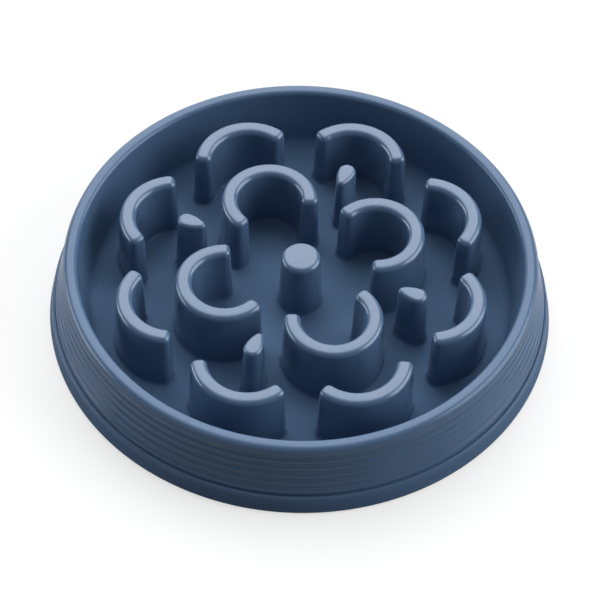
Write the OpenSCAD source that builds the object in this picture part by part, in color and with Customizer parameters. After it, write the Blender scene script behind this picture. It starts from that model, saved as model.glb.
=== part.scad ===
// Slow feeder bowl: a round dish with a ribbed skirt, and a maze of ridges and posts that
// the food lies between. The real body is one hollow moulding. Its dish and each of its
// ridges are drawn as solids that meet face to face, and it stands on rubber pads.
// Millimetres, +Z up, with the origin in the middle of the surface that the bowl stands on.

/* [Foot and skirt] */
// Diameter across the lower edge of the foot band
foot_d = 280; // [274:1:320]
// Height of the foot band
band_h = 10.8; // [8:0.2:14]
// How far the foot band draws in between its lower and its upper edge
band_taper = 2.1; // [1:0.1:3]
// Width of the ledge on top of the foot band, outside the skirt
ledge_w = 1.6; // [1.2:0.1:2.4]
// How far the skirt leans in between the ledge and the rim
skirt_lean = 6.1; // [3:0.1:7]
// How far the skirt hollows in behind a straight line, for its flare
skirt_flare = 0.8; // [0:0.1:1.5]
// How far each rib of the skirt stands out
rib_bulge = 0.55; // [0.3:0.05:0.8]

/* [Rim and dish] */
// Height of the rim above the lower edge of the foot band
bowl_h = 43.8; // [40:0.2:60]
// Width of the rim between its inner and its outer side
rim_w = 8.4; // [7.8:0.1:12]
// Rounding of both edges of the rim
rim_edge = 3.5; // [1:0.1:3.6]
// Height of the rim above the top rib of the skirt, which ends on the rim's rounding
lip_h = 1.9; // [1.5:0.1:4]
// Height of the upper face of the dish floor above the lower edge of the foot band
floor_h = 6.7; // [6:0.1:10]
// Angle by which the dish wall leans outwards
wall_draft = 8; // [4:0.5:10]
// Inside radius of the corner between the dish floor and the dish wall
corner_r = 7.5; // [4:0.5:9]
// Wall thickness of the dish, the rim and the skirt
wall = 2.8; // [2.2:0.1:3.2]

/* [Ridges] */
// Height of the ridges and posts above the dish floor
ridge_h = 37.4; // [20:0.2:45]
// Width of a ridge across its top, edges included
ridge_w = 9.2; // [8.5:0.1:10]
// Rounding of the top edges of the ridges and of the centre post
ridge_edge = 3.2; // [1:0.1:3.2]
// Rounding of the ends of a ridge, seen from above
ridge_corner = 3.4; // [3.4:0.1:4.2]
// Draft of the sides of the ridges and posts
ridge_draft = 2.2; // [1:0.1:3]
// Fillet at the foot of the ridges and posts
ridge_root = 2; // [1:0.1:2.5]
// Wall thickness of the cored ridges and posts
ridge_wall = 2.4; // [2:0.1:2.6]
// Clear width between the backs of two neighbouring inner ridges
inner_gap = 10; // [8:0.1:16]
// Angle that an inner ridge spans, ends included
inner_span = 240; // [180:1:245]
// Distance between the ends of two neighbouring outer ridges, from middle to middle
outer_gap = 21.7; // [19:0.1:28]
// Angle that an outer ridge spans, ends included
outer_span = 134; // [90:1:138]
// Flat floor left between the foot of an outer ridge and the corner of the dish
outer_margin = 0.5; // [0.4:0.1:3]
// Clear width between the backs of the inner ridges and the outer ridges
lane_w = 25.1; // [22:0.1:26]

/* [Posts] */
// Diameter of the centre post across its top, edge included
centre_d = 21.8; // [14:0.2:26]
// Width of a drop-shaped post across its top
drop_w = 10; // [9.4:0.1:12]
// Distance between the middles of the wide and the narrow round of a drop-shaped post
drop_reach = 8.6; // [7:0.1:9.8]
// Sine of the angle by which each side of a drop-shaped post leans in
drop_taper = 0.28; // [0.2:0.004:0.32]
// Rounding of the top edge of a drop-shaped post
drop_edge = 2.2; // [0.6:0.1:2.2]
// Clear width between a drop-shaped post and the outer ridge behind it
drop_gap = 23.8; // [20:0.1:26]

/* [Rubber pads] */
// Diameter of a pad
pad_d = 12; // [8:0.5:12.5]
// How far the pads stand out below the foot band
pad_proud = 1; // [0.5:0.1:2]
// Rounding of the lower edge of a pad
pad_edge = 0.8; // [0.3:0.1:0.8]
// Wall thickness of the collar that holds a pad
collar_wall = 1.5; // [1:0.1:1.6]
// Depth of the collar that holds a pad
collar_h = 3; // [2:0.1:3.4]
// Flat floor left between the collar and the corner of the dish
pad_margin = 0.8; // [0.4:0.1:2]

/* [Hidden] */
$fa = 4;
$fs = 0.4;

inner_count = 4;
outer_count = 8;
drop_count = 4;
pad_count = 8;
rib_count = 6;

// Rounding of the small edges: the foot band's two edges and the cores' top edges
band_edge = 1.4;
foot_edge = 0.6;
core_edge = 0.5;
// Radius of the fine groove between two ribs, and of the deeper one above the ledge
groove_r = 0.35;
ledge_groove_r = 0.6;
// Angle by which each half of a ridge is swept past its middle
past_angle = 2;
// How far a cut runs past the face that it opens
overrun = 1;

body_color = [0.27, 0.36, 0.49];
pad_color = [0.16, 0.17, 0.19];

// Radii of the outline of the dish, from the foot inwards. The skirt meets the rounding of
// the rim at the radius of the lip, and the flat top of the rim ends where that rounding starts.
foot_r = foot_d / 2;
band_r = foot_r - band_taper;
skirt_r = band_r - ledge_w;
lip_r = skirt_r - skirt_lean;
lip_z = bowl_h - lip_h;
turned_h = min(lip_h, rim_edge);
rim_flat_r = lip_r - sqrt(turned_h * (2 * rim_edge - turned_h));
rim_out_r = rim_flat_r + rim_edge;
rim_in_r = rim_out_r - rim_w;

// Where the rounded corner of the dish passes into its wall, and where the flat floor ends
wall_foot_z = floor_h + corner_r * (1 - sin(wall_draft));
wall_foot_r = rim_in_r - (bowl_h - wall_foot_z) * tan(wall_draft);
floor_r = wall_foot_r - corner_r * cos(wall_draft);

// How far a flank has moved out at the foot of a ridge, fillet included
slope = tan(ridge_draft);
root_spread = (ridge_h - ridge_root) * slope + ridge_root / cos(ridge_draft);

// Height of the cores above the floor, and how far the cuts reach below it
core_h = ridge_h - ridge_wall;
cut_foot = -wall - overrun;

// Radii of the ridges along the middle of their widths, and distances of the ridges and posts
// from the middle of the bowl. Each row reaches as far out as its clear width to the wall or
// to the next row lets it, and its ridges are as large as the gaps between them let them be.
outer_turn = 180 / outer_count;
outer_reach = floor_r - outer_margin - root_spread - ridge_w / 2;
outer_arc_r = (outer_reach * sin(outer_turn) - outer_gap / 2)
    / (sin(outer_turn) + sin(outer_span / 2 - outer_turn));
outer_c = outer_reach - outer_arc_r;
outer_face_r = outer_reach - ridge_w / 2;
inner_turn = 180 / inner_count;
inner_reach = outer_face_r - lane_w - ridge_w / 2;
inner_arc_r = (inner_reach * sin(inner_turn) - (inner_gap + ridge_w) / 2) / (1 + sin(inner_turn));
inner_c = inner_reach - inner_arc_r;
drop_c = outer_face_r - drop_gap - drop_w / 2;

// The pads sit against the underside of the floor, between the outer ridges
collar_r = pad_d / 2 + collar_wall;
pad_c = floor_r - pad_margin - collar_r;
pad_h = pad_proud + floor_h - wall;

function turned(v, angle) = [v.x * cos(angle) - v.y * sin(angle), v.x * sin(angle) + v.y * cos(angle)];
function unit(v) = v / norm(v);
function skirt_at(t) = [
    skirt_r - skirt_lean * t - 4 * skirt_flare * t * (1 - t),
    band_h + (lip_z - band_h) * t
];
function flank_at(reach, z) = reach + (ridge_h - z) * slope;

// The waste between a sharp corner at k, with edges along u and v, and its rounding of radius r
module corner_waste(k, u, v, r) {
    half = acos(u * v) / 2;
    setback = r / tan(half);
    centre = k + unit(u + v) * r / sin(half);
    difference() {
        polygon([k, k + u * setback, centre, k + v * setback]);
        translate(centre) circle(r);
    }
}

// One rib of the skirt: the part of a circle that stands out beyond the line from a to b
module rib(a, b) {
    chord = norm(b - a);
    rib_r = (chord * chord / 4 + rib_bulge * rib_bulge) / (2 * rib_bulge);
    middle = (a + b) / 2;
    outward = turned(unit(b - a), -90);
    intersection() {
        translate(middle - outward * (rib_r - rib_bulge)) circle(rib_r);
        polygon([a, a + outward * rib_bulge * 2, b + outward * rib_bulge * 2, b]);
    }
}

// Section of the skirt with its ribs, the rounding of the rim above it, the ledge and the foot
// band below it
module skirt_section() {
    points = [for (i = [0:rib_count]) skirt_at(i / rib_count)];
    band_side = unit([band_taper, -band_h]);
    rim_under_z = bowl_h - wall;
    difference() {
        union() {
            polygon(concat(
                points,
                [[rim_flat_r, lip_z], [rim_flat_r, rim_under_z], [lip_r - wall, rim_under_z]],
                [for (i = [rib_count - 1:-1:0]) points[i] - [wall, 0]]
            ));
            polygon([[foot_r, 0], [band_r, band_h], [skirt_r - wall, band_h], [foot_r - wall, 0]]);
            for (i = [0:rib_count - 1]) rib(points[i], points[i + 1]);
            difference() {
                translate([rim_flat_r, lip_z]) square([rim_edge, lip_h]);
                corner_waste([rim_out_r, bowl_h], [-1, 0], [0, -1], rim_edge);
            }
        }
        for (i = [1:rib_count]) translate(points[i]) circle(groove_r);
        translate([skirt_r, band_h]) circle(ledge_groove_r);
        corner_waste([band_r, band_h], [-1, 0], band_side, band_edge);
        corner_waste([foot_r, 0], [-1, 0], -band_side, foot_edge);
    }
}

// Section of the dish: floor, rounded corner, wall and rim
module dish_section() {
    up = [sin(wall_draft), cos(wall_draft)];
    out = [cos(wall_draft), -sin(wall_draft)];
    corner_c = [floor_r, floor_h + corner_r];
    reach = 2 * (corner_r + wall);
    rim_under_r = rim_in_r - wall * tan(wall_draft);
    translate([0, floor_h - wall]) square([floor_r, wall]);
    intersection() {
        translate(corner_c) difference() {
            circle(corner_r + wall);
            circle(corner_r);
        }
        polygon([corner_c, corner_c + [0, -reach], corner_c + turned([0, -reach], 45), corner_c + out * reach]);
    }
    difference() {
        union() {
            polygon([
                [wall_foot_r, wall_foot_z],
                [rim_in_r, bowl_h],
                [rim_in_r + wall / cos(wall_draft), bowl_h],
                [wall_foot_r, wall_foot_z] + out * wall
            ]);
            polygon([
                [rim_under_r, bowl_h - wall],
                [rim_in_r, bowl_h],
                [rim_flat_r, bowl_h],
                [rim_flat_r, bowl_h - wall]
            ]);
        }
        corner_waste([rim_in_r, bowl_h], [1, 0], -up, rim_edge);
    }
}

// Section through the rounded corner of a ridge or post, from the centre of its rounding
// outwards, above and below the floor. The skin is the outer form, the core is the hollow
// that opens downwards, and the slot is the opening in the dish floor that the skin fills.
module corner_section(corner, edge, form) {
    flank = [sin(ridge_draft), -cos(ridge_draft)];
    root = [flank_at(corner, 0), 0];
    toe = corner + root_spread;
    core_reach = corner - ridge_wall;
    if (form == "skin") difference() {
        union() {
            polygon([[0, -wall], [toe, -wall], [toe, 0], root, [corner, ridge_h], [0, ridge_h]]);
            corner_waste(root, [1, 0], -flank, ridge_root);
        }
        corner_waste([corner, ridge_h], [-1, 0], flank, edge);
    }
    if (form == "core") difference() {
        polygon([
            [0, cut_foot],
            [core_reach + (core_h - cut_foot) * slope, cut_foot],
            [core_reach, core_h],
            [0, core_h]
        ]);
        corner_waste([core_reach, core_h], [-1, 0], flank, core_edge);
    }
    if (form == "slot") translate([0, cut_foot]) square([toe, overrun - cut_foot]);
}

// Half of a section of any width: the corner's own section, moved out, and what lies inside it
module half_section(reach, corner, edge, form) {
    foot = form == "skin" ? -wall : cut_foot;
    top = form == "skin" ? ridge_h : form == "core" ? core_h : overrun;
    translate([reach - corner, 0]) corner_section(corner, edge, form);
    if (reach > corner) translate([0, foot]) square([reach - corner, top - foot]);
}

// The end of a ridge, with its rounded corners, facing -Y
module ridge_end(form) {
    shift = ridge_w / 2 - ridge_corner;
    for (side = [0, 1]) mirror([side, 0, 0]) translate([shift, 0, 0])
        rotate_extrude(angle = 90, start = -90) corner_section(ridge_corner, ridge_edge, form);
    translate([shift, 0, 0]) rotate([90, 0, -90])
        linear_extrude(2 * shift) corner_section(ridge_corner, ridge_edge, form);
}

// A ridge that is bent round the Z axis, with its middle towards +X. Its two halves overlap
// in the middle, so that no seam is left there.
module ridge_form(arc_r, span, form) {
    half = span / 2 - ridge_corner / arc_r * 180 / PI;
    sweep = half + past_angle;
    for (side = [0, 1]) rotate(side == 0 ? -half : half) {
        rotate_extrude(angle = sweep, start = side == 0 ? 0 : -sweep) translate([arc_r, 0])
            for (face = [0, 1]) mirror([face, 0]) half_section(ridge_w / 2, ridge_corner, ridge_edge, form);
        translate([arc_r, 0, 0]) mirror([0, side, 0]) ridge_end(form);
    }
}

// A drop-shaped post: a wide round at the origin and a narrow one towards -X, with flat
// sides that touch both
module drop_form(form) {
    wide = drop_w / 2;
    narrow = wide - drop_reach * drop_taper;
    lean = asin(drop_taper);
    side_l = drop_reach * cos(lean);
    size = 2 * (ridge_h + drop_w);
    difference() {
        rotate(180) rotate_extrude() half_section(wide, narrow, drop_edge, form);
        intersection_for(side = [0, 1]) mirror([0, side, 0]) rotate(lean)
            translate([-size, -size / 2, -size / 2]) cube(size);
    }
    for (side = [0, 1]) mirror([0, side, 0]) difference() {
        rotate(lean) translate([-side_l, 0, 0]) {
            rotate([90, 0, 90]) linear_extrude(side_l) half_section(wide, narrow, drop_edge, form);
            translate([0, wide - narrow, 0])
                rotate_extrude(angle = 90, start = 90) corner_section(narrow, drop_edge, form);
        }
        translate([-size / 2, -size, -size / 2]) cube(size);
    }
}

// A round post on the Z axis
module round_form(width, form) {
    rotate_extrude() half_section(width / 2, ridge_corner, ridge_edge, form);
}

// Copies a form to its even places round the bowl, at the level of the floor
module round_place(i, count, distance, first = 0) {
    rotate(first + i * 360 / count) translate([distance, 0, pad_proud + floor_h]) children();
}

module cored() {
    color(body_color) difference() {
        children(0);
        children(1);
    }
}

module dish() {
    color(body_color) difference() {
        union() {
            translate([0, 0, pad_proud]) rotate_extrude() {
                dish_section();
                skirt_section();
            }
            for (i = [0:pad_count - 1]) pad_place(i) collar();
        }
        for (i = [0:inner_count - 1])
            round_place(i, inner_count, inner_c) ridge_form(inner_arc_r, inner_span, "slot");
        for (i = [0:outer_count - 1])
            round_place(i, outer_count, outer_c) ridge_form(outer_arc_r, outer_span, "slot");
        for (i = [0:drop_count - 1])
            round_place(i, drop_count, drop_c, 180 / drop_count) drop_form("slot");
        round_place(0, 1, 0) round_form(centre_d, "slot");
    }
}

module inner_ridge(i) {
    round_place(i, inner_count, inner_c) cored() {
        ridge_form(inner_arc_r, inner_span, "skin");
        ridge_form(inner_arc_r, inner_span, "core");
    }
}

module outer_ridge(i) {
    round_place(i, outer_count, outer_c) cored() {
        ridge_form(outer_arc_r, outer_span, "skin");
        ridge_form(outer_arc_r, outer_span, "core");
    }
}

// The core of a drop-shaped post is a round pin in its wide end
module drop_post(i) {
    round_place(i, drop_count, drop_c, 180 / drop_count) cored() {
        drop_form("skin");
        round_form(drop_w, "core");
    }
}

module centre_post() {
    round_place(0, 1, 0) cored() {
        round_form(centre_d, "skin");
        round_form(centre_d, "core");
    }
}

// Places a pad or its collar between two outer ridges, at the level that the bowl stands on
module pad_place(i) {
    rotate((i + 0.5) * 360 / pad_count) translate([pad_c, 0, 0]) children();
}

module collar() {
    translate([0, 0, pad_h - collar_h]) difference() {
        cylinder(r = collar_r, h = collar_h);
        translate([0, 0, -overrun]) cylinder(d = pad_d, h = collar_h + overrun);
    }
}

module rubber_pad(i) {
    color(pad_color) pad_place(i) rotate_extrude() difference() {
        square([pad_d / 2, pad_h]);
        corner_waste([pad_d / 2, 0], [-1, 0], [0, 1], pad_edge);
    }
}

dish();
for (i = [0:inner_count - 1])
    inner_ridge(i);
for (i = [0:outer_count - 1])
    outer_ridge(i);
for (i = [0:drop_count - 1])
    drop_post(i);
centre_post();
for (i = [0:pad_count - 1])
    rubber_pad(i);
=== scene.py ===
"""Slow feeder bowl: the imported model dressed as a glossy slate-blue moulding on rubber pads.

Lengths are in metres, angles in degrees, and z is 0 on the surface that the bowl stands on.
"""
from math import acos, asin, atan2, cos, degrees, pi, radians, sin, tan

import bpy
from mathutils import Matrix, Vector


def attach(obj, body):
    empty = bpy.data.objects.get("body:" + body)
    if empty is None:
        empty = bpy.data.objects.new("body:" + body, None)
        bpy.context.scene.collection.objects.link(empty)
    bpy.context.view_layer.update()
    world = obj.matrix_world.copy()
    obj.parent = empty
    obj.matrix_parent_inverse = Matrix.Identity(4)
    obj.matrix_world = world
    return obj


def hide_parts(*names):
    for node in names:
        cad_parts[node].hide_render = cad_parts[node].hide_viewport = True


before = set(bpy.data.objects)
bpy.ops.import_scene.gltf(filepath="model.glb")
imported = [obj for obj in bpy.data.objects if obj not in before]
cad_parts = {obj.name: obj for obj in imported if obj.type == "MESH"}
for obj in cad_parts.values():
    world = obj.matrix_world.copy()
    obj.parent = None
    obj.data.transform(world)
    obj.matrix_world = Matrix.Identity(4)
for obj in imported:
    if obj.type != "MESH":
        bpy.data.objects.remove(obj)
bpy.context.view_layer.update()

MM = 0.001

# Foot and skirt
FOOT_R = 140 * MM
BAND_H = 10.8 * MM
BAND_TAPER = 2.1 * MM
LEDGE_W = 1.6 * MM
SKIRT_LEAN = 6.1 * MM
SKIRT_FLARE = 0.8 * MM
RIB_COUNT = 6
RIB_BULGE = 0.55 * MM
RIB_DIP = 0.3 * MM
LEDGE_GROOVE_R = 0.6 * MM
# How many radii of that groove the ribs stop above the ledge
RIB_STOP = 1.3
BAND_EDGE = 1.4 * MM
FOOT_EDGE = 0.6 * MM

# Rim and dish
BOWL_H = 43.8 * MM
RIM_W = 8.4 * MM
RIM_EDGE = 3.5 * MM
LIP_H = 1.9 * MM
# The rounding of the lip stops this far short of the top rib, so that a fine groove is left there
LIP_GAP = 0.35 * MM
FLOOR_H = 6.7 * MM
# The draft and rim edge of the solids set where the floor ends
WALL_DRAFT = 8
# As drawn, the wall leans a little more than in the solids, up to a tighter edge
WALL_LEAN = 9.6
RIM_IN_EDGE = 2.7 * MM
CORNER_R = 7.5 * MM
WALL = 2.8 * MM

# Ridges and posts
RIDGE_H = 37.4 * MM
RIDGE_W = 9.2 * MM
RIDGE_EDGE = 3.2 * MM
RIDGE_CORNER = 3.4 * MM
RIDGE_DRAFT = 2.2
RIDGE_ROOT = 2 * MM
RIDGE_WALL = 2.4 * MM
# Level floor that each form carries round its foot, so that its fillet runs out flat
FLANGE = 0.8 * MM
CORE_EDGE = 0.5 * MM
# The share of the core's edge by which the middle of its chamfer stands off both faces
CORE_EDGE_MID = 0.3
INNER_GAP = 10 * MM
INNER_SPAN = 240
INNER_COUNT = 4
OUTER_GAP = 21.7 * MM
OUTER_SPAN = 134
OUTER_COUNT = 8
OUTER_MARGIN = 0.5 * MM
LANE_W = 25.1 * MM
CENTRE_D = 21.8 * MM
DROP_W = 10 * MM
DROP_REACH = 8.6 * MM
DROP_TAPER = 0.28
DROP_SIDE_R = 20 * MM
DROP_EDGE = 2.2 * MM
DROP_GAP = 23.8 * MM
DROP_COUNT = 4
DROP_TURN = 45

# Rubber pads and their collars
PAD_COUNT = 8
PAD_TURN = 22.5
PAD_D = 12 * MM
PAD_PROUD = 1 * MM
PAD_EDGE = 0.8 * MM
COLLAR_WALL = 1.5 * MM
COLLAR_H = 3 * MM
PAD_MARGIN = 0.8 * MM

# How finely the curves are drawn
ROUND_STEPS = 288
ARC_STEP = 2.5
EDGE_STEPS = 8
FOOT_STEPS = 4
RIB_STEPS = 12
FLOOR_RINGS = 4
WELD = 0.001 * MM
SMOOTH_ANGLE = 30
# A face counts as level when its normal points up or down at least this much
LEVEL = 0.99

# Colours as seen on a screen, 0 to 255
SLATE = ((72, 96, 126), (78, 102, 133))
RUBBER = ((36, 37, 40), (48, 49, 53))

# Finish of the plastic: polished, but satin on the dish floor and up to SATIN_H above it
POLISH = 0.08
SATIN = 0.7
SATIN_H = 5 * MM
GLOSS_IOR = 1.3
GLOSS_TINT = (0.56, 0.73, 1, 1)
# A clear gloss lies over it from some height up, and is full COAT_RISE above that
COAT_IOR = 1.5
COAT_RISE = 3 * MM
DISH_COAT = 0.4
DISH_COAT_DEPTH = 4 * MM
RIDGE_COAT = 1
# Unevenness of the plastic
CLOUD_ROUGHNESS = 0.06
PEEL_SHARE = 0.15

# Finish of the rubber, and how deep the bumps of all surfaces are
RUBBER_ROUGHNESS = 0.6
GRAIN_ROUGHNESS = 0.15
BUMP_DEPTH = 0.1 * MM

# Light. The large box is given by stops of (place, level), each round one by its azimuth, its
# elevation and the angles within which it is full and beyond which it is nothing
BOX_LIGHT = 3.7
BOX_LENGTHWAYS = [
    (0, 0.3), (0.14, 0.6), (0.26, 1), (0.33, 1), (0.44, 0.5), (0.53, 0.13), (0.6, 0),
]
BOX_SIDEWAYS = [(0.15, 0), (0.3, 1), (0.64, 1), (0.76, 0)]
RIGHT_LIGHT = 3.8
RIGHT_BOX = (92, 25, 19, 33)
LEFT_LIGHT = 4
LEFT_BOX = (-100, 6, 14, 25)
HORIZON_LIGHT = 0.25
HORIZON_TOP = 0.14
AMBIENT = 0.09

# Studio floor: its shade as seen, the one that it throws back on the bowl, and its own light
STUDIO_SIZE = 6
STUDIO_SHADE = 0.9
STUDIO_BOUNCE = 0.1
STUDIO_LIFT = 0.6

# Camera, as fitted to the outlines in the photograph. Sensor and lens are in millimetres
CAMERA_AZIMUTH = -24.08
CAMERA_ELEVATION = 51.37
CAMERA_DISTANCE = 1.4489
CAMERA_ROLL = 1.62
CAMERA_RIGHT = 0.05 * MM
CAMERA_UP = 3.47 * MM
SENSOR_WIDTH = 36
LENS = 154.7

# Radii and heights that follow from the sizes
BAND_R = FOOT_R - BAND_TAPER
SKIRT_R = BAND_R - LEDGE_W
LIP_R = SKIRT_R - SKIRT_LEAN
RIM_FLAT_R = LIP_R - (LIP_H * (2 * RIM_EDGE - LIP_H)) ** 0.5
RIM_IN_R = RIM_FLAT_R + RIM_EDGE - RIM_W
FOOT_Z = PAD_PROUD
BAND_Z = FOOT_Z + BAND_H
RIM_Z = FOOT_Z + BOWL_H
LIP_Z = RIM_Z - LIP_H
FLOOR_Z = FOOT_Z + FLOOR_H
UNDER_Z = FLOOR_Z - WALL
WALL_FOOT_Z = FLOOR_Z + CORNER_R * (1 - sin(radians(WALL_DRAFT)))
WALL_FOOT_R = RIM_IN_R - (RIM_Z - WALL_FOOT_Z) * tan(radians(WALL_DRAFT))
FLOOR_R = WALL_FOOT_R - CORNER_R * cos(radians(WALL_DRAFT))
SLOPE = tan(radians(RIDGE_DRAFT))
ROOT_SPREAD = (RIDGE_H - RIDGE_ROOT) * SLOPE + RIDGE_ROOT / cos(radians(RIDGE_DRAFT))
OUTER_TURN = pi / OUTER_COUNT
OUTER_REACH = FLOOR_R - OUTER_MARGIN - ROOT_SPREAD - RIDGE_W / 2
OUTER_ARC_R = (OUTER_REACH * sin(OUTER_TURN) - OUTER_GAP / 2) / (
    sin(OUTER_TURN) + sin(radians(OUTER_SPAN) / 2 - OUTER_TURN)
)
OUTER_C = OUTER_REACH - OUTER_ARC_R
OUTER_FACE_R = OUTER_REACH - RIDGE_W / 2
INNER_TURN = pi / INNER_COUNT
INNER_REACH = OUTER_FACE_R - LANE_W - RIDGE_W / 2
INNER_ARC_R = (INNER_REACH * sin(INNER_TURN) - (INNER_GAP + RIDGE_W) / 2) / (1 + sin(INNER_TURN))
INNER_C = INNER_REACH - INNER_ARC_R
DROP_C = OUTER_FACE_R - DROP_GAP - DROP_W / 2
COLLAR_R = PAD_D / 2 + COLLAR_WALL
PAD_C = FLOOR_R - PAD_MARGIN - COLLAR_R


# Drawing outlines and turning them into solids

class Pen:
    """Draws a line of points in edit mode, in a plane that is square to the given axis."""

    def __init__(self, name, at, axis):
        bpy.ops.object.select_all(action="DESELECT")
        bpy.ops.mesh.primitive_plane_add(size=MM, location=(0, 0, 0))
        self.piece = bpy.context.object
        self.piece.name = name
        self.at = Vector(at)
        self.axis = Vector(axis)
        bpy.ops.object.mode_set(mode="EDIT")
        bpy.ops.mesh.select_all(action="SELECT")
        bpy.ops.mesh.merge(type="CENTER")
        bpy.ops.transform.translate(value=self.at)

    def line(self, to):
        to = Vector(to)
        bpy.ops.mesh.extrude_region_move(TRANSFORM_OT_translate={"value": to - self.at})
        self.at = to

    def arc(self, centre, angle, steps):
        """Turns about the centre by the right-hand rule. The spin operator counts the other way."""
        centre = Vector(centre)
        bpy.ops.mesh.spin(steps=steps, angle=-radians(angle), center=centre, axis=self.axis)
        self.at = centre + Matrix.Rotation(radians(angle), 3, self.axis) @ (self.at - centre)


def polar(radius, angle):
    return Vector((radius * cos(radians(angle)), radius * sin(radians(angle)), 0))


def close_outline(z):
    """Joins the ends of the outline that is being drawn, fills it and lifts it to z."""
    bpy.ops.mesh.select_all(action="SELECT")
    bpy.ops.mesh.remove_doubles(threshold=WELD)
    bpy.ops.mesh.edge_face_add()
    bpy.ops.mesh.normals_make_consistent(inside=False)
    bpy.ops.transform.translate(value=(0, 0, z))
    piece = bpy.context.object
    piece.update_from_editmode()
    if piece.data.polygons[0].normal.z < 0:
        bpy.ops.mesh.flip_normals()
    return piece


def ridge_outline(name, arc_r, span, spread, z):
    """The plan of a bent ridge, this far outside its top outline, filled at height z."""
    half = span / 2 - degrees(RIDGE_CORNER / arc_r)
    reach = RIDGE_W / 2 + spread
    shift = RIDGE_W / 2 - RIDGE_CORNER
    steps = round(2 * half / ARC_STEP)
    pen = Pen(name, polar(arc_r + reach, -half), (0, 0, 1))
    pen.arc((0, 0, 0), 2 * half, steps)
    for end, first, then in ((half, shift, -shift), (-half, -shift, shift)):
        pen.arc(polar(arc_r + first, end), 90, EDGE_STEPS)
        pen.line(pen.at + polar(then - first, end))
        pen.arc(polar(arc_r + then, end), 90, EDGE_STEPS)
        if end > 0:
            pen.arc((0, 0, 0), -2 * half, steps)
    return close_outline(z)


def drop_outline(name, spread, z):
    """The plan of a drop-shaped post, this far outside its top outline, filled at height z.

    Its sides bow out: each is an arc that touches the wide round and the narrow one.
    """
    to_wide = DROP_SIDE_R - DROP_W / 2
    to_narrow = DROP_SIDE_R - (DROP_W / 2 - DROP_REACH * DROP_TAPER)
    side_x = (to_narrow ** 2 - to_wide ** 2 - DROP_REACH ** 2) / (2 * DROP_REACH)
    side_y = (to_wide ** 2 - side_x ** 2) ** 0.5
    leave = degrees(atan2(side_y, -side_x))
    arrive = degrees(atan2(side_y, -DROP_REACH - side_x))
    pen = Pen(name, polar(DROP_W / 2 + spread, -leave), (0, 0, 1))
    pen.arc((0, 0, 0), 2 * leave, 6 * EDGE_STEPS)
    pen.arc((side_x, -side_y, 0), arrive - leave, 2 * EDGE_STEPS)
    pen.arc((-DROP_REACH, 0, 0), 360 - 2 * arrive, 4 * EDGE_STEPS)
    pen.arc((side_x, side_y, 0), arrive - leave, 2 * EDGE_STEPS)
    return close_outline(z)


def round_outline(name, radius, z):
    bpy.ops.object.select_all(action="DESELECT")
    bpy.ops.mesh.primitive_circle_add(
        vertices=12 * EDGE_STEPS, radius=radius, fill_type="NGON", location=(0, 0, 0),
    )
    bpy.context.object.name = name
    bpy.ops.object.mode_set(mode="EDIT")
    return close_outline(z)


def draw_in(steps):
    """Insets the chosen face in steps of (how far in, how far along its normal)."""
    for inward, along in steps:
        bpy.ops.mesh.inset(thickness=inward, depth=along, use_even_offset=True)


def extrude_up(height):
    """Raises the whole outline that is being drawn into a block of this height."""
    bpy.ops.mesh.select_all(action="SELECT")
    bpy.ops.mesh.extrude_region_move(TRANSFORM_OT_translate={"value": (0, 0, height)})


def choose_face(piece, normal_z):
    """Chooses the one widest face that points up (1) or down (-1)."""
    bpy.ops.mesh.select_all(action="DESELECT")
    bpy.ops.object.mode_set(mode="OBJECT")
    faces = [f for f in piece.data.polygons if f.normal.z * normal_z > LEVEL]
    max(faces, key=lambda f: len(f.vertices)).select = True
    bpy.ops.object.mode_set(mode="EDIT")


def steps_between(points):
    """Turns points of (offset, height) into steps for draw_in."""
    return [(a[0] - b[0], b[1] - a[1]) for a, b in zip(points, points[1:])]


def flank_points(edge):
    """Offset and height above the floor of a ridge's side, from its foot to its flat top."""
    draft = radians(RIDGE_DRAFT)
    edge_c = -edge * (1 - sin(draft)) / cos(draft)
    root = [radians(90 - RIDGE_DRAFT) * i / EDGE_STEPS for i in range(EDGE_STEPS + 1)]
    top = [draft + (pi / 2 - draft) * i / EDGE_STEPS for i in range(EDGE_STEPS + 1)]
    return (
        [(ROOT_SPREAD + FLANGE, 0)]
        + [(ROOT_SPREAD - RIDGE_ROOT * sin(a), RIDGE_ROOT * (1 - cos(a))) for a in root]
        + [(edge_c + edge * cos(a), RIDGE_H - edge * (1 - sin(a))) for a in top]
    )


def core_points():
    """Offset and depth of the hollow in a ridge, from its mouth to its top."""
    top = RIDGE_H - RIDGE_WALL
    mouth = (top + WALL) * SLOPE - RIDGE_WALL
    return [
        (ROOT_SPREAD + FLANGE, 0),
        (mouth, 0),
        (-RIDGE_WALL + CORE_EDGE * SLOPE, -(top + WALL - CORE_EDGE)),
        (-RIDGE_WALL - CORE_EDGE * CORE_EDGE_MID, -(top + WALL - CORE_EDGE * CORE_EDGE_MID)),
        (-RIDGE_WALL - CORE_EDGE, -(top + WALL)),
    ]


def raise_form(piece, edge, hollow):
    """Turns a filled outline on the floor's underside into a ridge or post, hollow from below."""
    extrude_up(WALL)
    choose_face(piece, 1)
    draw_in(steps_between(flank_points(edge)))
    if hollow:
        choose_face(piece, -1)
        draw_in(steps_between(core_points()))
    bpy.ops.object.mode_set(mode="OBJECT")
    return piece


def choose_piece(piece):
    """Makes this the only chosen object, and the active one."""
    bpy.ops.object.select_all(action="DESELECT")
    bpy.context.view_layer.objects.active = piece
    piece.select_set(True)


def cut_with(piece, cutter):
    """Cuts one object out of another, and removes the cutter."""
    choose_piece(piece)
    cut = piece.modifiers.new("cut", "BOOLEAN")
    cut.operation = "DIFFERENCE"
    cut.solver = "EXACT"
    cut.object = cutter
    bpy.ops.object.modifier_apply(modifier=cut.name)
    bpy.data.objects.remove(cutter)


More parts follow.
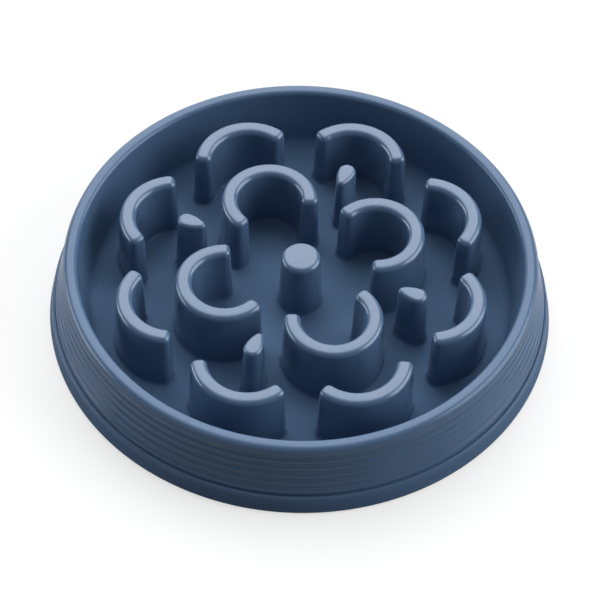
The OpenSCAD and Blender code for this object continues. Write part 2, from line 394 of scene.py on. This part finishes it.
def hollow_post(piece):
    """Bores the tapered hole that opens under a drop-shaped post, in its wide end."""
    top_r = DROP_W / 2 - RIDGE_WALL
    top_z = FLOOR_Z + RIDGE_H - RIDGE_WALL
    mouth_z = UNDER_Z - WALL
    bpy.ops.object.select_all(action="DESELECT")
    bpy.ops.mesh.primitive_cone_add(
        vertices=6 * EDGE_STEPS, radius1=top_r + (top_z - mouth_z) * SLOPE, radius2=top_r,
        depth=top_z - mouth_z, location=(0, 0, (top_z + mouth_z) / 2),
    )
    cut_with(piece, bpy.context.object)


def prism(outline, height):
    """Makes a filled outline a plain block."""
    extrude_up(height)
    bpy.ops.object.mode_set(mode="OBJECT")
    return outline


def copy_at(piece, name, angle, distance):
    """A copy with a mesh of its own, moved out along X and turned about the bowl's middle."""
    copy = piece.copy()
    copy.data = piece.data.copy()
    copy.name = copy.data.name = name
    bpy.context.scene.collection.objects.link(copy)
    turn = Matrix.Rotation(radians(angle), 4, "Z")
    copy.data.transform(turn @ Matrix.Translation((distance, 0, 0)))
    return copy


def smooth(piece):
    """Shades the piece smooth, but keeps edges that bend by more than SMOOTH_ANGLE sharp."""
    choose_piece(piece)
    bpy.ops.object.shade_smooth_by_angle(angle=radians(SMOOTH_ANGLE))


# Every form that stands on the floor: its outline, its top edge, and where it is repeated

def inner_outline(spread, z):
    return ridge_outline("inner_ridge", INNER_ARC_R, INNER_SPAN, spread, z)


def outer_outline(spread, z):
    return ridge_outline("outer_ridge", OUTER_ARC_R, OUTER_SPAN, spread, z)


def drop_post_outline(spread, z):
    return drop_outline("drop_post", spread, z)


def centre_outline(spread, z):
    return round_outline("centre_post", CENTRE_D / 2 + spread, z)


FORMS = [
    # name, outline, top edge, count, distance, first angle
    ("inner_ridge", inner_outline, RIDGE_EDGE, INNER_COUNT, INNER_C, 0),
    ("outer_ridge", outer_outline, RIDGE_EDGE, OUTER_COUNT, OUTER_C, 0),
    ("drop_post", drop_post_outline, DROP_EDGE, DROP_COUNT, DROP_C, DROP_TURN),
    ("centre_post", centre_outline, RIDGE_EDGE, 1, 0, 0),
]


def places(name, count, distance, first):
    """Piece name, node name, angle and distance of each copy of a form."""
    for i in range(count):
        node = name if count == 1 else f"{name}_{i + 1}"
        yield node + "_form", node, first + i * 360 / count, distance


# The dish

class Section(Pen):
    """Draws the section of the dish in the plane y = 0, with points given as (radius, height)."""

    def __init__(self, name, at):
        super().__init__(name, (at[0], 0, at[1]), (0, -1, 0))

    def to(self, r, z):
        self.line((r, 0, z))

    def turn(self, centre, angle, steps=EDGE_STEPS):
        self.arc((centre[0], 0, centre[1]), angle, steps)

    def round_corner(self, corner, back, on, radius, steps=EDGE_STEPS):
        """Goes round an outer corner. back and on are the directions from it to both sides."""
        corner, back, on = Vector(corner), Vector(back), Vector(on)
        half = acos(back.dot(on)) / 2
        start = corner + back * radius / tan(half)
        centre = corner + (back + on).normalized() * radius / sin(half)
        self.to(*start)
        self.turn(centre, -degrees(pi - 2 * half), steps)


def skirt_at(t):
    """Radius and height of the skirt without its ribs, from the ledge (0) up to the lip (1)."""
    return Vector((
        SKIRT_R - SKIRT_LEAN * t - 4 * SKIRT_FLARE * t * (1 - t),
        BAND_Z + (LIP_Z - BAND_Z) * t,
    ))


def angle_of(vector):
    return degrees(atan2(vector.y, vector.x))


def draw_ribs(pen):
    """From the lip down to the ledge: the soft ribs as one wave, and the groove above the ledge.

    The wave ends a little above the groove, and a straight line leads into it.
    """
    corner = skirt_at(0)
    steps = RIB_COUNT * RIB_STEPS
    for i in range(steps):
        t = 1 - i / steps
        along = skirt_at(t) - skirt_at(t - 1 / steps)
        outward = Vector((along.y, -along.x)).normalized()
        swell = (1 - cos(2 * pi * RIB_COUNT * t)) / 2
        if (skirt_at(t) - corner).length > LEDGE_GROOVE_R * RIB_STOP:
            pen.to(*(skirt_at(t) + outward * ((RIB_BULGE + RIB_DIP) * swell - RIB_DIP)))
    pen.to(*(corner + along.normalized() * LEDGE_GROOVE_R))
    pen.turn(corner, -angle_of(along) % 360, EDGE_STEPS)


def dish_shell():
    """Floor, wall, rim, skirt and foot band, turned from one section."""
    lean = radians(WALL_LEAN)
    foot_r = FLOOR_R + CORNER_R * cos(lean)
    foot_z = FLOOR_Z + CORNER_R * (1 - sin(lean))
    rim_in_r = foot_r + (RIM_Z - foot_z) * tan(lean)
    up = Vector((sin(lean), cos(lean)))
    out = Vector((up.y, -up.x))
    band_side = Vector((BAND_TAPER, -BAND_H)).normalized()
    bend = 90 - WALL_LEAN
    pen = Section("dish_shell", (0, FLOOR_Z))
    for ring in range(1, FLOOR_RINGS + 1):
        pen.to(FLOOR_R * ring / FLOOR_RINGS, FLOOR_Z)
    pen.turn((FLOOR_R, FLOOR_Z + CORNER_R), bend, 2 * EDGE_STEPS)
    pen.round_corner((rim_in_r, RIM_Z), -up, (1, 0), RIM_IN_EDGE)
    pen.to(RIM_FLAT_R, RIM_Z)
    lip_turn = degrees(acos(1 - LIP_H / RIM_EDGE)) - degrees(2 * asin(LIP_GAP / 2 / RIM_EDGE))
    pen.turn((RIM_FLAT_R, RIM_Z - RIM_EDGE), -lip_turn)
    draw_ribs(pen)
    pen.round_corner((BAND_R, BAND_Z), (-1, 0), band_side, BAND_EDGE)
    pen.round_corner((FOOT_R, FOOT_Z), -band_side, (-1, 0), FOOT_EDGE, FOOT_STEPS)
    pen.to(FOOT_R - WALL, FOOT_Z)
    for i in range(RIB_COUNT):
        inner = skirt_at(i / RIB_COUNT)
        pen.to(inner.x - WALL, inner.y)
    pen.to(LIP_R - WALL, RIM_Z - WALL)
    pen.to(rim_in_r + WALL / up.y - WALL * up.x / up.y, RIM_Z - WALL)
    pen.to(*(Vector((foot_r, foot_z)) + out * WALL))
    pen.turn((FLOOR_R, FLOOR_Z + CORNER_R), -bend, EDGE_STEPS)
    for ring in reversed(range(FLOOR_RINGS)):
        pen.to(FLOOR_R * ring / FLOOR_RINGS, UNDER_Z)
    bpy.ops.mesh.select_all(action="SELECT")
    bpy.ops.mesh.spin(steps=ROUND_STEPS, angle=2 * pi, center=(0, 0, 0), axis=(0, 0, 1))
    bpy.ops.mesh.select_all(action="SELECT")
    bpy.ops.mesh.remove_doubles(threshold=WELD)
    bpy.ops.mesh.normals_make_consistent(inside=False)
    bpy.ops.object.mode_set(mode="OBJECT")
    return pen.piece


def join(pieces):
    bpy.ops.object.select_all(action="DESELECT")
    for piece in pieces:
        piece.select_set(True)
    bpy.context.view_layer.objects.active = pieces[0]
    bpy.ops.object.join()
    return pieces[0]


def place_pads(piece, name):
    """Copies of one piece in the places of the pads, with their number put into the name.

    The piece itself is removed.
    """
    copies = [
        copy_at(piece, name.format(i + 1), PAD_TURN + i * 360 / PAD_COUNT, PAD_C)
        for i in range(PAD_COUNT)
    ]
    bpy.data.objects.remove(piece)
    return copies


def collar():
    """The ring under the floor that a rubber pad is pressed into. It ends inside the floor."""
    piece = round_outline("collar", COLLAR_R, UNDER_Z - COLLAR_H)
    extrude_up(COLLAR_H + WALL / 2)
    choose_face(piece, -1)
    draw_in([(COLLAR_WALL, 0), (0, -COLLAR_H)])
    bpy.ops.object.mode_set(mode="OBJECT")
    return piece


def rubber_pad():
    """A short rubber plug with a rounded lower edge."""
    piece = round_outline("rubber_pad", PAD_D / 2, PAD_EDGE)
    extrude_up(UNDER_Z - PAD_EDGE)
    choose_face(piece, -1)
    corner = [radians(90) * i / EDGE_STEPS for i in range(EDGE_STEPS + 1)]
    draw_in(steps_between([(PAD_EDGE * cos(a), PAD_EDGE * sin(a)) for a in corner]))
    bpy.ops.object.mode_set(mode="OBJECT")
    return piece


def build_dish():
    """The dish with its openings for the ridges and posts, and the collars under it."""
    dish = dish_shell()
    cutters = []
    for name, outline, _, count, distance, first in FORMS:
        block = prism(outline(ROOT_SPREAD + FLANGE, UNDER_Z - WALL), 3 * WALL)
        for _, node, angle, out in places(name, count, distance, first):
            cutters.append(copy_at(block, node + "_slot", angle, out))
        bpy.data.objects.remove(block)
    cut_with(dish, join(cutters))
    return join([dish] + place_pads(collar(), "collar_{}"))


# Materials

class Socket:
    """A node's output. Adding to it or multiplying it adds a Math node."""

    def __init__(self, shader, link):
        self.shader = shader
        self.link = link

    def _math(self, operation, a, b):
        return self.shader.add("ShaderNodeMath", {"operation": operation}, {0: a, 1: b})

    def __add__(self, other):
        return self._math("ADD", self, other)

    def __mul__(self, other):
        return self._math("MULTIPLY", self, other)


class Shader:
    """A material, or the light of the world, that is built node by node."""

    def __init__(self, name, kind="materials", surface="Principled BSDF"):
        self.made = getattr(bpy.data, kind).new(name)
        self.made.use_nodes = True
        self.tree = self.made.node_tree
        self.surface = self.tree.nodes[surface]

    def add(self, kind, settings=None, inputs=None, output=0):
        node = self.tree.nodes.new(kind)
        for key, value in (settings or {}).items():
            setattr(node, key, value)
        self.feed(node, inputs or {})
        return Socket(self, node.outputs[output])

    def feed(self, node, inputs):
        for key, value in inputs.items():
            if isinstance(value, Socket):
                self.tree.links.new(value.link, node.inputs[key])
            else:
                node.inputs[key].default_value = value

    def set(self, **inputs):
        self.feed(self.surface, {key.replace("_", " "): value for key, value in inputs.items()})

    def place(self):
        """The point on the piece, in metres."""
        return self.add("ShaderNodeTexCoord", output=3)

    def noise(self, place, scale, detail):
        return self.add(
            "ShaderNodeTexNoise", {}, {"Vector": place, "Scale": scale, "Detail": detail},
        )

    def height(self, vector):
        """The Z of a point or direction."""
        return self.add("ShaderNodeSeparateXYZ", {}, {"Vector": vector}, output=2)

    def rise(self, value, low, high, kind="LINEAR"):
        """0 up to low, and 1 from high on."""
        return self.add(
            "ShaderNodeMapRange", {"interpolation_type": kind},
            {"Value": value, "From Min": low, "From Max": high},
        )

    def blend(self, share, colours):
        """Runs from the first colour to the second one."""
        first, second = (linear(*c) for c in colours)
        return self.add(
            "ShaderNodeMix", {"data_type": "RGBA"}, {0: share, 6: first, 7: second}, output=2,
        )

    def bump(self, height, strength):
        return self.add(
            "ShaderNodeBump", {},
            {"Strength": strength, "Distance": BUMP_DEPTH, "Height": height},
        )

    def ray(self, kind):
        """1 for a ray of this kind, and 0 for any other."""
        return Socket(self, self.tree.nodes.new("ShaderNodeLightPath").outputs[kind])

    def ramp(self, value, stops):
        """A value that runs through the stops, each given as (place, level)."""
        node = self.tree.nodes.new("ShaderNodeFloatCurve")
        curve = node.mapping.curves[0]
        for _ in stops[2:]:
            curve.points.new(0.5, 0.5)
        for point, stop in zip(curve.points, stops):
            point.location = stop
            point.handle_type = "VECTOR"
        node.mapping.extend = "HORIZONTAL"
        node.mapping.update()
        self.feed(node, {"Value": value})
        return Socket(self, node.outputs[0])


def linear(r, g, b):
    """A colour as seen on a screen, 0 to 255, as the shader wants it."""
    def one(c):
        c /= 255
        return c / 12.92 if c <= 0.04045 else ((c + 0.055) / 1.055) ** 2.4
    return (one(r), one(g), one(b), 1)


def slate_plastic(name, coat, coat_z):
    """Moulded plastic with the slight waviness and orange peel of a moulded face.

    coat is the share of clear gloss over it, which begins at the height coat_z.
    """
    shader = Shader(name)
    place = shader.place()
    cloud = shader.noise(place, scale=18, detail=3)
    peel = shader.noise(place, scale=900, detail=2)
    wave = shader.noise(place, scale=60, detail=1)
    height = shader.height(place)
    raised = shader.rise(height, FLOOR_Z, FLOOR_Z + SATIN_H, "SMOOTHSTEP")
    coated = shader.rise(height, coat_z, coat_z + COAT_RISE)
    shader.set(
        Base_Color=shader.blend(cloud, SLATE),
        Roughness=cloud * CLOUD_ROUGHNESS + raised * (POLISH - SATIN) + SATIN,
        IOR=GLOSS_IOR,
        Specular_Tint=GLOSS_TINT,
        Coat_Weight=coated * coat,
        Coat_Roughness=POLISH,
        Coat_IOR=COAT_IOR,
        Normal=shader.bump(peel * PEEL_SHARE + wave, strength=0.25),
    )
    return shader.made


def pad_rubber():
    """Dull, nearly black rubber with a fine grain."""
    shader = Shader("pad_rubber")
    grain = shader.noise(shader.place(), scale=1400, detail=4)
    shader.set(
        Base_Color=shader.blend(grain, RUBBER),
        Roughness=grain * GRAIN_ROUGHNESS + RUBBER_ROUGHNESS,
        Normal=shader.bump(grain, strength=0.4),
    )
    return shader.made


# The object

dish_plastic = slate_plastic("dish_plastic", DISH_COAT, RIM_Z - DISH_COAT_DEPTH)
ridge_plastic = slate_plastic("ridge_plastic", RIDGE_COAT, FLOOR_Z)
rubber = pad_rubber()


def finish_piece(piece, node, material):
    """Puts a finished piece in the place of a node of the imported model."""
    piece.data.materials.clear()
    piece.data.materials.append(material)
    smooth(piece)
    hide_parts(node)
    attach(piece, "root")


finish_piece(build_dish(), "dish", dish_plastic)
for name, outline, edge, count, distance, first in FORMS:
    is_drop = name == "drop_post"
    form = raise_form(outline(ROOT_SPREAD + FLANGE, UNDER_Z), edge, hollow=not is_drop)
    if is_drop:
        hollow_post(form)
    for piece_name, node, angle, out in places(name, count, distance, first):
        finish_piece(copy_at(form, piece_name, angle, out), node, ridge_plastic)
    bpy.data.objects.remove(form)
for i, plug in enumerate(place_pads(rubber_pad(), "rubber_pad_{}_plug")):
    finish_piece(plug, f"rubber_pad_{i + 1}", rubber)


# Floor, light and camera

def studio_floor():
    """A pale floor that the camera, gloss and glass see lit up, and that keeps its shadow."""
    bpy.ops.object.select_all(action="DESELECT")
    bpy.ops.mesh.primitive_plane_add(size=STUDIO_SIZE, location=(0, 0, 0))
    floor = bpy.context.object
    floor.name = "studio_floor"
    shader = Shader("studio_floor")
    seen = shader.ray("Is Camera Ray") + shader.ray("Is Glossy Ray")
    seen = seen + shader.ray("Is Transmission Ray")
    shader.set(Base_Color=seen * (STUDIO_SHADE - STUDIO_BOUNCE) + STUDIO_BOUNCE, Roughness=0.9)
    paper = shader.add("ShaderNodeEmission", {}, {"Color": (1, 1, 1, 1), "Strength": 1.0})
    lit = Socket(shader, shader.surface.outputs[0])
    mixed = shader.add("ShaderNodeMixShader", {}, {0: seen * STUDIO_LIFT, 1: lit, 2: paper})
    shader.feed(shader.tree.nodes["Material Output"], {"Surface": mixed})
    floor.data.materials.append(shader.made)


def toward(azimuth, elevation=0):
    """The direction of a point of the studio. Azimuth counts to the right of the camera."""
    a, e = radians(CAMERA_AZIMUTH + azimuth), radians(elevation)
    return Vector((sin(a) * cos(e), -cos(a) * cos(e), sin(e)))


def studio_light():
    """A wide soft box behind the bowl that fades overhead, and a round one at each side.

    A weak light lies all round, and is stronger along the horizon.
    """
    light = Shader("studio", "worlds", "Background")
    direction = light.add("ShaderNodeTexCoord", output=0)

    def facing(azimuth, elevation=0):
        return light.add(
            "ShaderNodeVectorMath", {"operation": "DOT_PRODUCT"},
            {0: direction, 1: toward(azimuth, elevation)}, output=1,
        )

    def round_box(azimuth, elevation, inner, outer):
        """Full within the inner angle from its middle, and fading to nothing at the outer one."""
        stops = [(cos(radians(outer)), 0), (cos(radians(inner)), 1)]
        return light.ramp(facing(azimuth, elevation), stops)

    up = light.height(direction)
    # 0 at the horizon behind the bowl, 0.5 overhead and 1 at the horizon on the camera's side
    over = light.add("ShaderNodeMath", {"operation": "ARCTAN2"}, {0: up, 1: facing(180)}) * (1 / pi)
    # 0 on the far left, and 1 on the far right
    across = facing(90) * 0.5 + 0.5
    box = light.ramp(over, BOX_LENGTHWAYS) * light.ramp(across, BOX_SIDEWAYS)
    horizon = light.ramp(up, [(0, 1), (HORIZON_TOP, 0)])
    light.set(
        Color=(1, 1, 1, 1),
        Strength=box * BOX_LIGHT
        + round_box(*RIGHT_BOX) * RIGHT_LIGHT
        + round_box(*LEFT_BOX) * LEFT_LIGHT
        + horizon * HORIZON_LIGHT + AMBIENT,
    )
    bpy.context.scene.world = light.made


def camera():
    """Looks at the middle of the foot, shifted a little to the right and up."""
    back = toward(0, CAMERA_ELEVATION)
    right = toward(90)
    up = back.cross(right)
    lens = bpy.data.cameras.new("camera")
    lens.sensor_width = SENSOR_WIDTH
    lens.lens = LENS
    holder = bpy.data.objects.new("camera", lens)
    turn = Matrix((right, up, back)).transposed() @ Matrix.Rotation(radians(CAMERA_ROLL), 3, "Z")
    holder.rotation_mode = "QUATERNION"
    holder.rotation_quaternion = turn.to_quaternion()
    holder.location = (
        Vector((0, 0, FOOT_Z)) + back * CAMERA_DISTANCE + right * CAMERA_RIGHT + up * CAMERA_UP
    )
    bpy.context.scene.collection.objects.link(holder)
    bpy.context.scene.camera = holder


studio_floor()
camera()
studio_light()
bpy.context.scene.view_settings.view_transform = "Standard"
